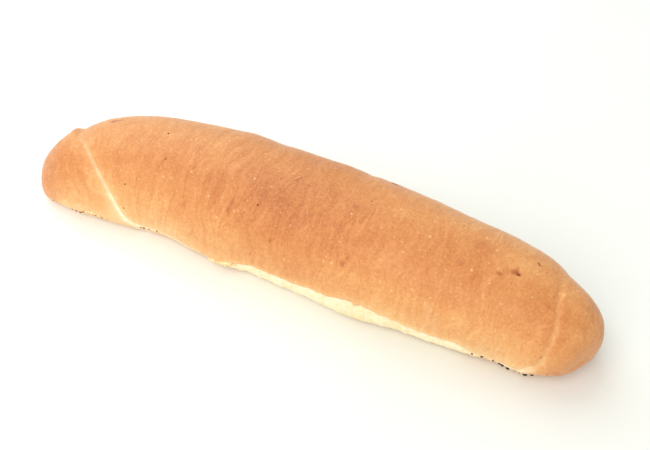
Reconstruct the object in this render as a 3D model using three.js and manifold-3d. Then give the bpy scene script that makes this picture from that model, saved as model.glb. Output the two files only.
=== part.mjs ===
// Hot dog baguette roll, one baked piece lying on its flat base.
// Millimetres, +Z up, X along the roll. The seam of the rolled dough burst open on the -Y side
// and runs up over both ends.
import * as THREE from 'three';
import Module from 'manifold-3d';

// Body: sections square to a gently curled spine
const spineLength = 264;
const rollWidth = 60.6;
const rollHeight = 45.6;
const widestShare = 0.38; // height of the widest line, as a share of the section's height
const baseDepth = 1.05; // the lower half is drawn this much deeper, then cut flat at the table
const topPower = 2.15; // superellipse powers of the section above and below its widest line
const basePower = 4.5;
const endBasePower = 3; // the boxy lower half rounds off to this at the tips, from the place below on
const roundFrom = 0.7;
const heightPower = 0.85; // the ends lose height more slowly than width
const middleBow = 1;
const reliefFrom = 3; // the relief below grows to its full height this far above the table

// The flat base stands on three low bumps, at [u, v] places
const base = { clear: 0.4, bumpWidth: 6, bumps: [[-0.6, 0], [0.15, 0.09], [0.52, -0.085]] };

// Ends: the swell is (1 - |u|^power)^share, with u from -1 to 1 along the spine. The tip stands at the lift
const leftEnd = {
  power: 2.9, share: 0.405, lift: 4, liftPower: 3, curl: 23.2, curlFrom: 0.36, curlPower: 2.1,
};
const rightEnd = {
  power: 2.5, share: 0.28, lift: 13, liftPower: 1.75, curl: 11, curlFrom: 0.7, curlPower: 2,
};

// Seam lines as [v, u] knots, with v the share of the way round: 0 base, 0.24 front, 0.5 top, 0.76 back
const leftSeam = {
  rest: -0.71, from: -1, to: -0.3, depth: 0.95, halfWidth: 1.3,
  knots: [[0.05, -0.56], [0.18, -0.588], [0.209, -0.643], [0.3, -0.697], [0.39, -0.766],
    [0.46, -0.811], [0.535, -0.848], [0.7, -0.84], [0.88, -0.7]],
  hold: [[0.1, 0], [0.16, 1], [0.42, 1], [0.54, 0.6], [0.72, 0.3], [0.82, 0]],
};
const rightSeam = {
  rest: 0.89, from: 0.55, to: 1, depth: 0.5, halfWidth: 1.3,
  knots: [[0, 0.86], [0.17, 0.87], [0.202, 0.901], [0.235, 0.932], [0.3, 0.942], [0.4, 0.923],
    [0.51, 0.866], [0.6, 0.838], [0.8, 0.85]],
  hold: [[0.1, 0], [0.2, 1], [0.45, 1], [0.62, 0.5], [0.82, 0]],
};

// Where the wrap starts beside the left seam: the end's lobe stands proud, the wrap dips
const lobe = { v: 0.57, spread: 0.07, rise: 1, riseAt: -2.6, riseWidth: 2.2, dip: 0.9, dipAt: 3.5, dipWidth: 5 };

// Tear: the crust's lower lip as [u, v] knots, and how far the seam gapes along it
const tear = {
  rest: 0.19, from: 0.1, to: 0.34, foot: 0.158, depth: 1.5, swell: 0.35, swellAt: 1.4, swellWidth: 1.5,
  knots: [[-0.5, 0.19], [-0.4, 0.177], [-0.29, 0.174], [-0.22, 0.181], [-0.1, 0.217], [0, 0.219],
    [0.1, 0.215], [0.19, 0.22], [0.29, 0.241], [0.36, 0.232], [0.5, 0.217], [0.62, 0.217], [0.7, 0.193],
    [0.76, 0.19]],
  gape: [[-0.6, 0], [-0.54, 0.45], [-0.47, 0.4], [-0.42, 0.12], [-0.27, 0.12], [-0.2, 0.55], [-0.1, 1],
    [0.6, 1], [0.7, 0.5], [0.82, 0.3], [0.93, 0]],
};

// Broad hollows and swellings of the crust: place, spread along and round in mm, height
const waves = [
  { u: -0.42, v: 0.6, along: 14, round: 16, rise: -0.7 },
  { u: 0.53, v: 0.62, along: 17, round: 16, rise: -0.9 },
  { u: 0.82, v: 0.6, along: 11, round: 14, rise: 0.6 },
  { u: -0.45, v: 0.19, along: 15, round: 14, rise: -1.1 },
  { u: -0.21, v: 0.17, along: 7, round: 8, rise: 0.9 },
  { u: 0.26, v: 0.17, along: 12, round: 10, rise: 0.9 },
  { u: 0.05, v: 0.42, along: 30, round: 14, rise: 0.4 },
  { u: -0.2, v: 0.8, along: 24, round: 14, rise: 0.6 },
  { u: 0.3, v: 0.82, along: 18, round: 12, rise: -0.7 },
];

// Burnt grains baked on along the lower edge: [u, v, radius] on the near side, and a loose row at the back
const nearGrains = [
  [0.684, 0.184, 0.5], [0.722, 0.183, 0.75], [0.774, 0.178, 0.5], [0.801, 0.17, 0.7], [0.814, 0.165, 1],
  [0.838, 0.165, 1.05], [0.863, 0.163, 0.7], [0.883, 0.167, 0.6], [0.899, 0.163, 1.2], [0.921, 0.164, 0.85],
  [0.965, 0.184, 0.45], [-0.957, 0.168, 0.55], [-0.881, 0.167, 0.55], [-0.866, 0.166, 0.8], [-0.85, 0.165, 0.95],
  [-0.838, 0.178, 0.6], [-0.829, 0.187, 0.5], [-0.78, 0.185, 0.5], [-0.755, 0.181, 0.65], [-0.58, 0.181, 0.65],
  [-0.559, 0.184, 0.75], [-0.535, 0.187, 0.5], [-0.499, 0.191, 0.6],
];
const backGrains = { seed: 41, uFrom: -0.85, uTo: 0.85, v: 0.835, spread: 0.01, count: 12, least: 0.55, most: 0.95 };
const grainForm = { flat: 0.8, sunk: 0.05 };

// Mesh density, with extra lines set in mm beside each seam
const stationCount = 66;
const roundCount = 46;
const seamLines = [-3.4, -1.3, 0, 1.3, 3.4];
const lipLines = [-2.2, -0.7, 0, 1.2, 2.8];
const crustColour = '#dc9a5c';

const halfSpine = spineLength / 2;
const { clamp, lerp, smoothstep } = THREE.MathUtils;
const endAt = (u) => (u < 0 ? leftEnd : rightEnd);
const bell = (distance, width) => Math.exp(-((distance / width) ** 2));
const signedPower = (value, power) => Math.sign(value) * Math.abs(value) ** power;

// 1 on the line, falling to 0 at both limits, so that only lines near a seam are pulled onto it
function pull(value, { rest, from, to }) {
  const limit = value < rest ? from : to;
  const share = clamp((value - rest) / (limit - rest), 0, 1);
  return 0.5 + 0.5 * Math.cos(Math.PI * share);
}

// Eased runs between knots, held level past the ends
function ramp(knots, x) {
  const next = knots.findIndex(([at]) => at > x);
  if (next === 0) return knots[0][1];
  if (next < 0) return knots[knots.length - 1][1];
  const [x0, y0] = knots[next - 1];
  const [x1, y1] = knots[next];
  return lerp(y0, y1, smoothstep(x, x0, x1));
}

// A smooth curve through knots; a round one joins its last knot to its first one turn later
function smoothRun(knots, x, round) {
  const count = knots.length;
  const knot = (k) => {
    if (!round) return knots[clamp(k, 0, count - 1)];
    const turns = Math.floor(k / count);
    const [at, value] = knots[k - turns * count];
    return [at + turns, value];
  };
  const place = round && x < knots[0][0] ? x + 1 : x;
  if (!round && place <= knots[0][0]) return knots[0][1];
  if (!round && place >= knots[count - 1][0]) return knots[count - 1][1];
  const before = knots.findLastIndex(([at]) => at <= place);
  const [[xa, ya], [x0, y0], [x1, y1], [xb, yb]] = [-1, 0, 1, 2].map((step) => knot(before + step));
  const width = x1 - x0;
  const share = (place - x0) / width;
  const slopeIn = ((y1 - ya) / (x1 - xa)) * width;
  const slopeOut = ((yb - y0) / (xb - x0)) * width;
  const square = share * share;
  const cube = square * share;
  return y0 * (2 * cube - 3 * square + 1) + slopeIn * (cube - 2 * square + share)
    + y1 * (3 * square - 2 * cube) + slopeOut * (cube - square);
}

function swell(u) {
  const { power, share } = endAt(u);
  return Math.max(0, 1 - Math.abs(u) ** power) ** share;
}

function spineY(u) {
  const { curl, curlFrom, curlPower } = endAt(u);
  const reach = Math.max(0, (Math.abs(u) - curlFrom) / (1 - curlFrom));
  return middleBow * (1 - u * u) - curl * reach ** curlPower;
}

// A section's outline at an angle, with both half sizes 1: 90 top, 180 front, 270 base
function sectionPoint(u, angle) {
  const turn = THREE.MathUtils.degToRad(angle);
  const rounding = smoothstep(Math.abs(u), roundFrom, 1);
  const power = 2 / (Math.sin(turn) > 0 ? topPower : lerp(basePower, endBasePower, rounding));
  const rise = signedPower(Math.sin(turn), power);
  const reach = rise > 0 ? 1 - widestShare : widestShare * lerp(baseDepth, 1, rounding);
  return { side: signedPower(Math.cos(turn), power), height: Math.max(0, widestShare + reach * rise) };
}

// Angles against the length round the middle section, from the base up the front and over
const angleSteps = 1440;
const girthTable = [];
for (let step = 0, length = 0, last = null; step <= angleSteps; step += 1) {
  const angle = 270 - (360 * step) / angleSteps;
  const point = sectionPoint(0, angle);
  const flat = new THREE.Vector2((point.side * rollWidth) / 2, point.height * rollHeight);
  if (last) length += flat.distanceTo(last);
  girthTable.push([length, angle]);
  last = flat;
}
const girth = girthTable[angleSteps][0];

function angleAt(v) {
  const length = (v - Math.floor(v)) * girth;
  const next = girthTable.findIndex(([at]) => at > length);
  const [before, angle] = girthTable[next - 1];
  const [after, nextAngle] = girthTable[next];
  return lerp(angle, nextAngle, (length - before) / (after - before));
}

// The bare form, before any relief
function bodyPoint(u, v) {
  const { side, height } = sectionPoint(u, angleAt(v));
  const size = swell(u);
  const tall = size ** heightPower;
  const slope = (spineY(u + 1e-4) - spineY(u - 1e-4)) / (2e-4 * halfSpine);
  const reach = (side * size * rollWidth) / 2 / Math.hypot(1, slope);
  const lift = endAt(u).lift * (1 - tall) ** endAt(u).liftPower;
  return new THREE.Vector3(halfSpine * u - slope * reach, spineY(u) + reach, height * tall * rollHeight + lift);
}

function bodyNormal(u, v) {
  const step = 1e-3;
  const along = bodyPoint(Math.min(u + step, 0.9999), v).sub(bodyPoint(Math.max(u - step, -0.9999), v));
  const round = bodyPoint(u, v + step).sub(bodyPoint(u, v - step));
  return along.cross(round).normalize();
}

// Grid lines a and b follow the seams: a along the roll, b round it
function gridPlace(a, b) {
  const leftShift = pull(a, leftSeam) * (smoothRun(leftSeam.knots, b, true) - leftSeam.rest);
  const rightShift = pull(a, rightSeam) * (smoothRun(rightSeam.knots, b, true) - rightSeam.rest);
  const u = a + leftShift + rightShift;
  const v = b + pull(b, tear) * (smoothRun(tear.knots, u, false) - tear.rest);
  return { u, v };
}

function endSeamRelief(a, b, { rest, depth, halfWidth, hold }) {
  return -depth * ramp(hold, b) * bell((a - rest) * halfSpine, halfWidth);
}

function lobeRelief(a, b) {
  const distance = (a - leftSeam.rest) * halfSpine;
  const rise = lobe.rise * bell(distance - lobe.riseAt, lobe.riseWidth);
  const dip = lobe.dip * bell(distance - lobe.dipAt, lobe.dipWidth);
  return (rise - dip) * bell(b - lobe.v, lobe.spread);
}

// Below the lip the pale side stands back, and comes out again at its foot
function tearRelief(u, b) {
  const gape = ramp(tear.gape, u);
  const above = (b - tear.rest) * girth;
  if (above > -0.1) return gape * tear.swell * bell(above - tear.swellAt, tear.swellWidth);
  const down = clamp((tear.rest - b) / (tear.rest - tear.foot), 0, 1);
  return -tear.depth * gape * (1 - down);
}

function waveRelief(u, v) {
  return waves.reduce((sum, wave) => sum + wave.rise
    * bell((u - wave.u) * halfSpine, wave.along) * bell((v - wave.v) * girth, wave.round), 0);
}

function baseHeight(u, v) {
  const round = v > 0.5 ? v - 1 : v;
  return base.bumps.reduce((height, [bumpU, bumpV]) => height - base.clear
    * bell(Math.hypot((u - bumpU) * halfSpine, (round - bumpV) * girth), base.bumpWidth), base.clear);
}

function raisedPoint(u, v, relief) {
  const point = bodyPoint(u, v);
  const share = smoothstep(point.z, 0, reliefFrom);
  if (share > 0) point.addScaledVector(bodyNormal(u, v), relief * share);
  point.z = Math.max(baseHeight(u, v), point.z);
  return point;
}

function crustPoint(a, b) {
  const { u, v } = gridPlace(a, b);
  return raisedPoint(u, v, endSeamRelief(a, b, leftSeam) + endSeamRelief(a, b, rightSeam)
    + lobeRelief(a, b) + tearRelief(u, b) + waveRelief(u, v));
}

// The grid line b that lies at a place v, by repeating the pull of the lip on it
function lineAt(u, v) {
  const shift = smoothRun(tear.knots, u, false) - tear.rest;
  let b = v;
  for (let step = 0; step < 12; step += 1) b = v - pull(b, tear) * shift;
  return b;
}

// Even lines, with those beside a seam replaced by lines at fixed distances from it
function markedLines(lines, seams) {
  let kept = lines;
  for (const { at, offsets, perUnit } of seams) {
    const beside = offsets.map((offset) => at + offset / perUnit);
    const margin = 1.2 / perUnit;
    const clear = (line) => line < beside[0] - margin || line > beside[beside.length - 1] + margin;
    kept = kept.filter(clear).concat(beside);
  }
  return kept.sort((one, other) => one - other);
}

// Stations at even steps along the plan outline, so the round ends get more of them
function evenStations() {
  const outline = [];
  const fineSteps = 4000;
  for (let step = 0, length = 0; step <= fineSteps; step += 1) {
    const u = Math.sin(Math.PI * (step / fineSteps - 0.5));
    const point = new THREE.Vector2(halfSpine * u, (swell(u) * rollWidth) / 2);
    if (step) length += point.distanceTo(outline[step - 1].point);
    outline.push({ u, point, length });
  }
  const total = outline[fineSteps].length;
  const stations = [];
  for (let k = 1; k < stationCount; k += 1) {
    stations.push(outline.find(({ length }) => length >= (total * k) / stationCount).u);
  }
  return stations;
}

// A closed skin: rings of points at the stations, fanned to a point at each end
function rollBody() {
  const stations = markedLines(evenStations(), [leftSeam, rightSeam].map(
    ({ rest }) => ({ at: rest, offsets: seamLines, perUnit: halfSpine }),
  ));
  const even = Array.from({ length: roundCount }, (_, k) => k / roundCount);
  const round = markedLines(even, [{ at: tear.rest, offsets: lipLines, perUnit: girth }]);
  const points = stations.flatMap((a) => round.map((b) => crustPoint(a, b)));
  const left = points.push(bodyPoint(-1, 0)) - 1;
  const right = points.push(bodyPoint(1, 0)) - 1;
  const index = [];
  const lines = round.length;
  const lastRing = (stations.length - 1) * lines;
  for (let j = 0; j < lines; j += 1) {
    const next = (j + 1) % lines;
    index.push(left, j, next);
    index.push(right, lastRing + next, lastRing + j);
    for (let ring = 0; ring < lastRing; ring += lines) {
      index.push(ring + j, ring + lines + j, ring + lines + next);
      index.push(ring + j, ring + lines + next, ring + next);
    }
  }
  return new THREE.BufferGeometry().setFromPoints(points).setIndex(index);
}

// Repeatable numbers from 0 to 1
function seededDraw(seed) {
  let state = seed;
  return () => {
    state = (state * 16807) % 2147483647;
    return state / 2147483647;
  };
}

function grains() {
  const draw = seededDraw(backGrains.seed);
  const { uFrom, uTo, count, spread, least, most } = backGrains;
  const loose = Array.from({ length: count }, (_, k) => [
    lerp(uFrom, uTo, (k + 0.2 + 0.6 * draw()) / count),
    backGrains.v + spread * (2 * draw() - 1),
    lerp(least, most, draw()),
  ]);
  return nearGrains.concat(loose).map(([u, v, radius]) => {
    const grain = new THREE.IcosahedronGeometry(radius);
    grain.scale(1, 1, grainForm.flat);
    grain.rotateZ(draw() * Math.PI);
    grain.rotateX(draw() * Math.PI);
    const centre = raisedPoint(u, v, tearRelief(u, lineAt(u, v)) + waveRelief(u, v));
    centre.addScaledVector(bodyNormal(u, v), -radius * grainForm.sunk);
    centre.z = Math.max(centre.z, radius * 1.1);
    return grain.translate(...centre);
  });
}

const wasm = await Module();
wasm.setup();

// Points that coincide become one, so that the skin is closed
function toSolid(geometry) {
  const position = geometry.getAttribute('position');
  const seen = new Map();
  const vertProperties = [];
  const merged = Array.from({ length: position.count }, (_, k) => {
    const place = [position.getX(k), position.getY(k), position.getZ(k)];
    const key = place.map((value) => value.toFixed(4)).join();
    if (!seen.has(key)) {
      seen.set(key, vertProperties.length / 3);
      vertProperties.push(...place);
    }
    return seen.get(key);
  });
  const order = geometry.index ? Array.from(geometry.index.array, (k) => merged[k]) : merged;
  return new wasm.Manifold(new wasm.Mesh({
    numProp: 3,
    vertProperties: new Float32Array(vertProperties),
    triVerts: new Uint32Array(order),
  }));
}

function toGeometry(solid) {
  const mesh = solid.getMesh();
  const geometry = new THREE.BufferGeometry();
  geometry.setAttribute('position', new THREE.BufferAttribute(mesh.vertProperties, 3));
  geometry.setIndex(new THREE.BufferAttribute(mesh.triVerts, 1));
  geometry.computeVertexNormals();
  return geometry;
}

// Origin under the middle of the roll, on the table
function centred(geometry) {
  geometry.computeBoundingBox();
  const middle = geometry.boundingBox.getCenter(new THREE.Vector3());
  return geometry.translate(-middle.x, -middle.y, -geometry.boundingBox.min.z);
}

const solid = grains().reduce((whole, grain) => whole.add(toSolid(grain)), toSolid(rollBody()));
const crust = new THREE.MeshStandardMaterial({ color: crustColour, roughness: 0.62, metalness: 0 });
const roll = new THREE.Mesh(centred(toGeometry(solid)), crust);
roll.name = 'roll';

const part = new THREE.Group();
part.add(roll);

export default part;
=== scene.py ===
import math

import bpy
import numpy as np
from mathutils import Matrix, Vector
from mathutils.bvhtree import BVHTree


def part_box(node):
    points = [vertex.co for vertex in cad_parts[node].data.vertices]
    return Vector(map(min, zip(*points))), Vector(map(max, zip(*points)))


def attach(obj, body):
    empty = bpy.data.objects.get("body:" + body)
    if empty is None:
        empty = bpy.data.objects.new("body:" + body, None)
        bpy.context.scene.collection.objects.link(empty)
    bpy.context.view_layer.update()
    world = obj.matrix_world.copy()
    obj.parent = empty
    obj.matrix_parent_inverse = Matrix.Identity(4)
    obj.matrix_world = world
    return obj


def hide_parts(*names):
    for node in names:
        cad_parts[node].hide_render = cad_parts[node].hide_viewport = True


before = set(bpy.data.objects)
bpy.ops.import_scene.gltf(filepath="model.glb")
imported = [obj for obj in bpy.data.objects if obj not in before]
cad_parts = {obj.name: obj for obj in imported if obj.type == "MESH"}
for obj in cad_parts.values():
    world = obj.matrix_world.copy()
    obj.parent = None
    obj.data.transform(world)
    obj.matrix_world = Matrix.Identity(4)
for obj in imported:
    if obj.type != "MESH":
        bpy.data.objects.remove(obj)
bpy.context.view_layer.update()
partLow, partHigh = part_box("roll")

# Millimetres. Places on the crust are (u, v): u from -1 to 1 along the spine,
# v the share of the way round: 0 base, 0.24 front, 0.5 top, 0.76 back.
rollForm = {
    "overallLength": 269.93,
    "spineLength": 264.0,
    "width": 60.6,
    "height": 45.6,
    "widestShare": 0.38,
    "baseDepth": 1.05,
    "topPower": 2.15,
    "basePower": 4.5,
    "endBasePower": 3.0,
    "roundFrom": 0.7,
    "heightPower": 0.85,
    "middleBow": 1.0,
    "reliefFrom": 3.0,
    "stations": 392,
    "crustLines": 200,
    "baseLines": 22,
    "crustFrom": 0.135,
    "lipMargin": 0.3,  # between the lip's own lines and the others
    "sectionPoints": 1441,
    "outlinePoints": 8001,
    "mapUnit": 100,  # millimetres in one unit of the flat map
}
leftEnd = {"power": 2.9, "share": 0.405, "lift": 4.0, "liftPower": 3.0,
           "curl": 23.2, "curlFrom": 0.36, "curlPower": 2.1}
rightEnd = {"power": 2.5, "share": 0.28, "lift": 13.0, "liftPower": 1.75,
            "curl": 11.0, "curlFrom": 0.7, "curlPower": 2.0}
rollBase = {"clear": 0.4, "bumpWidth": 6.0, "bumps": [(-0.6, 0.0), (0.15, 0.09), (0.52, -0.085)]}

# The stretched seam over each end, as (v, u) knots
leftSeam = {
    "rest": -0.71, "from": -1.0, "to": -0.3, "depth": 0.95, "halfWidth": 1.3,
    "knots": [(0.05, -0.56), (0.18, -0.588), (0.209, -0.643), (0.3, -0.697), (0.39, -0.766),
              (0.46, -0.811), (0.535, -0.848), (0.7, -0.84), (0.88, -0.7)],
    "hold": [(0.1, 0), (0.16, 1), (0.42, 1), (0.54, 0.6), (0.72, 0.3), (0.82, 0)],
    "paleWidth": [(0.16, 1.7), (0.2, 1.6), (0.24, 1.4), (0.3, 1.15), (0.4, 0.9), (0.5, 0.7), (0.7, 0.7)],
    "pale": [(0.1, 0), (0.16, 1), (0.25, 1), (0.285, 0.88), (0.31, 0.44), (0.335, 0.38), (0.36, 0.42),
             (0.385, 0.32), (0.41, 0.27), (0.44, 0.23), (0.49, 0.16), (0.54, 0.07), (0.82, 0)],
    "light": [(0.1, 0.2), (0.2, 0.3), (0.33, 0.3), (0.4, 0.2), (0.5, 0.08), (0.6, 0)], "lightWidth": 5.0,
    "shade": 0.06, "shadeAt": -8.0, "shadeWidth": 3.0, "uneven": [(0.12, 91, 0.4), (0.1, 173, 2.1)],
}
rightSeam = {
    "rest": 0.89, "from": 0.55, "to": 1.0, "depth": 0.5, "halfWidth": 1.3,
    "knots": [(0, 0.86), (0.17, 0.87), (0.202, 0.901), (0.235, 0.932), (0.3, 0.942), (0.4, 0.923),
              (0.51, 0.866), (0.6, 0.838), (0.8, 0.85)],
    "hold": [(0.1, 0), (0.2, 1), (0.45, 1), (0.62, 0.5), (0.82, 0)],
    "paleWidth": [(0.16, 1.2), (0.3, 1.0), (0.6, 0.9)],
    "pale": [(0.11, 0), (0.15, 0.26), (0.2, 0.18), (0.25, 0.08), (0.4, 0.05), (0.52, 0)],
    "light": [(0.14, 0.2), (0.2, 0.2), (0.3, 0.14), (0.36, 0.1), (0.42, 0.13), (0.5, 0.04),
              (0.6, 0.02), (0.82, 0)], "lightWidth": 1.25,
    "shade": 0.2, "shadeAt": -4.2, "shadeWidth": 2.0, "uneven": [(0.16, 47, 0.9), (0.12, 131, 2.3)],
}
seams = (leftSeam, rightSeam)
lobe = {"v": 0.57, "spread": 0.07, "rise": 1.0, "riseAt": -2.6, "riseWidth": 2.2,
        "dip": 0.9, "dipAt": 3.5, "dipWidth": 5.0}

# The burst seam: the crust's lower lip as (u, v) knots, and how the torn side shows below it
tear = {
    "rest": 0.19, "from": 0.1, "to": 0.34, "foot": 0.158, "depth": 1.5,
    "swell": 0.35, "swellAt": 1.4, "swellWidth": 1.5, "swellTo": -0.1,
    "knots": [(-0.5, 0.19), (-0.4, 0.177), (-0.29, 0.174), (-0.22, 0.181), (-0.1, 0.217), (0, 0.219),
              (0.1, 0.215), (0.19, 0.22), (0.29, 0.241), (0.36, 0.232), (0.5, 0.217), (0.62, 0.217),
              (0.7, 0.193), (0.76, 0.19)],
    "gape": [(-0.6, 0), (-0.54, 0.45), (-0.47, 0.4), (-0.42, 0.12), (-0.27, 0.12), (-0.2, 0.55),
             (-0.1, 1), (0.6, 1), (0.7, 0.5), (0.82, 0.3), (0.93, 0)],
    "reach": [(-0.6, 0), (-0.55, 2.4), (-0.47, 2.6), (-0.42, 1.1), (-0.28, 1.1), (-0.2, 4), (-0.12, 14),
              (0.62, 14), (0.68, 5), (0.76, 2.2), (0.88, 1.2), (0.93, 0)],
    "reachFade": (0.2, 1.5), "fadeFrom": 0.55, "leastFade": 0.01, "lowest": 0.08, "edge": 0.05,
    "undercut": 0.7, "undercutAt": -0.45, "undercutWidth": 0.4,
    "lipLines": [-3.2, -2.5, -1.9, -1.35, -0.9, -0.55, -0.28, -0.12, 0, 0.25, 0.55, 0.9, 1.35, 1.9, 2.5],
    "tab": {"u": 0.294, "width": 1.35, "drop": 2.2},
    "lifts": [(0.15, 10.0, 1.15), (0.135, 4.5, 0.6), (0.26, 3.0, 0.5), (0.635, 5.0, 0.7)],
    "toast": [(0.2, 0), (0.31, 0.22), (0.37, 0.05), (0.44, 0.2), (0.48, 0), (0.54, -0.15), (0.66, -0.15)],
    "ragged": [(0.22, 61, 0.4), (0.16, 143, 1.9), (0.1, 287, 4.0)],
    "footRagged": [(0.22, 83, 1.1), (0.18, 167, 0.3), (0.12, 311, 2.6)],
    "footAt": 0.164, "footWidth": 4.0,
}

# Thin pale lines where the skin stretched: (u, v) knots, width, strength
paleLines = [
    ([(-0.636, 0.209), (-0.608, 0.197), (-0.58, 0.191), (-0.556, 0.191), (-0.53, 0.19),
      (-0.482, 0.187)], 1.25, 1.0),
    ([(-0.455, 0.19), (-0.38, 0.186), (-0.3, 0.178)], 0.9, 0.6),
    ([(0.64, 0.202), (0.7, 0.191), (0.76, 0.186), (0.82, 0.178), (0.87, 0.173)], 1.3, 0.6),
    ([(0.83, 0.178), (0.87, 0.178), (0.9, 0.186), (0.925, 0.197)], 1.2, 0.45),
    ([(0.52, 0.235), (0.53, 0.27), (0.525, 0.31)], 0.7, 0.12),
    ([(0.555, 0.23), (0.548, 0.27), (0.553, 0.3)], 0.7, 0.12),
]

# Broad hollows and swellings: u, v, spread along and round, height
waves = [
    (-0.42, 0.6, 14, 16, -0.7), (0.53, 0.62, 17, 16, -0.9), (0.82, 0.6, 11, 14, 0.6),
    (-0.45, 0.19, 15, 14, -1.1), (-0.21, 0.17, 7, 8, 0.9), (0.26, 0.17, 12, 10, 0.9),
    (0.05, 0.42, 30, 14, 0.4), (-0.2, 0.8, 24, 14, 0.6), (0.3, 0.82, 18, 12, -0.7),
]

# Lower ones that only the outline and the foot show
lowWaves = [
    (-0.965, 0.46, 5, 34, -1.0), (-0.877, 0.6, 3.5, 14, 0.3), (-0.846, 0.595, 2.4, 18, -0.65),
    (-0.775, 0.605, 12, 18, 0.65), (-0.51, 0.615, 9, 24, -0.5), (-0.292, 0.625, 5, 16, 0.5),
    (-0.17, 0.63, 6, 22, -0.4), (0.06, 0.635, 7, 16, 0.35), (0.163, 0.635, 2.2, 18, -0.4),
    (0.62, 0.635, 11, 16, 0.35), (0.68, 0.635, 5, 14, 0.2), (0.845, 0.625, 6, 26, -0.85),
    (0.958, 0.64, 6.5, 22, 0.85), (0.985, 0.165, 6, 16, -0.5), (-0.1, 0.172, 10, 7, -0.9),
    (0.05, 0.172, 12, 7, -0.4), (0.44, 0.172, 10, 7, -1.0), (0.6, 0.172, 14, 7, -1.1),
    (0.74, 0.172, 9, 7, -0.8), (0.885, 0.172, 6, 7, 1.2), (-0.53, 0.165, 9, 7, -0.6),
]

# How brown the crust is: round the roll, and added along it, with a thin line of painted shade just above the
# lip
crustBake = {
    "round": [(0.12, 0.02), (0.17, 0.1), (0.2, 0.2), (0.25, 0.42), (0.3, 0.56), (0.36, 0.8), (0.41, 0.9),
              (0.47, 0.84), (0.53, 0.74), (0.6, 0.68), (0.66, 0.62), (0.72, 0.5), (0.78, 0.28),
              (0.83, 0.14), (0.88, 0.03)],
    "along": [(-1, 0.12), (-0.86, -0.05), (-0.7, -0.1), (-0.45, -0.02), (-0.25, 0.07), (0, 0.19), (0.2, 0.08),
              (0.35, -0.05), (0.6, -0.01), (0.7, -0.09), (0.88, -0.08), (0.97, 0.0), (1, 0.02)],
    # lipLight pales the crust above the lip; the line at the lip's edge is painted shade
    "lipLight": 0.28, "lipWidth": 3.0, "lipShadeLine": 0.25, "lipEdgeWidth": 0.4, "blisterLight": 0.15,
    "leftTip": 0.8, "rightTip": 0.64, "tipFade": (0.9, 0.995),
    "baseFade": (0.4, 1.8), "reliefFade": (0.6, 5),  # heights above the table
}

# Red-brown spots and smears: u, v, size along and round, strength
scorchMarks = [
    (0.739, 0.4785, 0.75, 0.75, 1.0), (0.727, 0.48, 2.2, 1.7, 0.5), (0.711, 0.471, 2.6, 1.7, 0.3),
    (0.728, 0.493, 0.9, 1.6, 0.42), (0.684, 0.456, 1.2, 1.2, 0.6), (0.569, 0.44, 1.3, 2.4, 0.5),
    (-0.191, 0.357, 1.0, 2.0, 0.6), (-0.187, 0.38, 1.0, 2.2, 0.48), (-0.349, 0.332, 1.1, 1.8, 0.36),
    (-0.023, 0.322, 0.9, 1.8, 0.62), (-0.046, 0.274, 1.0, 1.2, 0.4), (-0.088, 0.266, 1.0, 1.1, 0.42),
    (0.197, 0.474, 1.6, 1.7, 0.5), (0.229, 0.335, 1.3, 1.5, 0.5), (0.241, 0.352, 1.0, 2.0, 0.42),
    (0.602, 0.512, 4.5, 4.0, 0.26), (0.646, 0.506, 2.4, 2.0, 0.24), (0.862, 0.456, 3.0, 1.8, 0.26),
    (0.97, 0.497, 2.2, 4.0, 0.26), (-0.742, 0.566, 1.3, 1.5, 0.62), (-0.722, 0.572, 2.8, 1.2, 0.46),
    (0.253, 0.621, 2.4, 1.2, 0.9), (0.436, 0.745, 2.6, 1.5, 0.5), (-0.354, 0.7, 1.6, 2.4, 0.46),
    (0.086, 0.79, 2.2, 1.4, 0.46), (0.95, 0.57, 7.0, 9.0, 0.22), (0.775, 0.548, 1.6, 1.4, 0.3),
]

# Patches of finer, closer blisters: u, v, size along and round, strength
blisterPatches = [
    (0.752, 0.51, 6.0, 7.0, 1.0), (0.978, 0.451, 4.0, 5.0, 0.7), (0.955, 0.556, 4.0, 5.0, 0.6),
    (0.53, 0.56, 7.0, 6.0, 0.6), (-0.3, 0.72, 8.0, 6.0, 0.6), (0.35, 0.76, 7.0, 6.0, 0.6),
]

halfSpine = rollForm["spineLength"] / 2
mm = (partHigh.x - partLow.x) / rollForm["overallLength"]  # one of the form's millimetres, in metres


def bell(distance, width):
    return np.exp(-(distance / width) ** 2)


def namedBell(look, name, distance):
    return look[name] * bell(distance - look[name + "At"], look[name + "Width"])


def smoothStep(x, low, high):
    share = np.clip((x - low) / (high - low), 0, 1)
    return share * share * (3 - 2 * share)


def signedPower(value, power):
    return np.sign(value) * np.abs(value) ** power


def ramp(knots, x):  # eased runs between knots, held level past the ends
    at, value = np.array(knots, float).T
    place = np.clip(np.searchsorted(at, x, side="right") - 1, 0, len(at) - 2)
    share = smoothStep(x, at[place], at[place + 1])
    return value[place] + (value[place + 1] - value[place]) * share


def smoothRun(knots, x, isRound=False):  # a smooth curve through knots
    knots = np.array(knots, float)
    if isRound:
        knots = np.concatenate([knots - (1, 0), knots, knots + (1, 0)])
    at, value = knots.T
    step = np.diff(value) / np.diff(at)
    middle = (value[2:] - value[:-2]) / (at[2:] - at[:-2])
    slope = np.concatenate([step[:1], middle, step[-1:]])
    x = np.clip(x, at[0], at[-1])
    place = np.clip(np.searchsorted(at, x, side="right") - 1, 0, len(at) - 2)
    width = at[place + 1] - at[place]
    share = (x - at[place]) / width
    square, cube = share ** 2, share ** 3
    return (value[place] * (2 * cube - 3 * square + 1) + slope[place] * width * (cube - 2 * square + share)
            + value[place + 1] * (3 * square - 2 * cube) + slope[place + 1] * width * (cube - square))


def waveSum(rows, x):
    return sum(size * np.sin(turns * x + start) for size, turns, start in rows)


def pull(value, seam):  # 1 on the seam, 0 at both limits
    limit = np.where(value < seam["rest"], seam["from"], seam["to"])
    share = np.clip((value - seam["rest"]) / (limit - seam["rest"]), 0, 1)
    return 0.5 + 0.5 * np.cos(np.pi * share)


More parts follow.
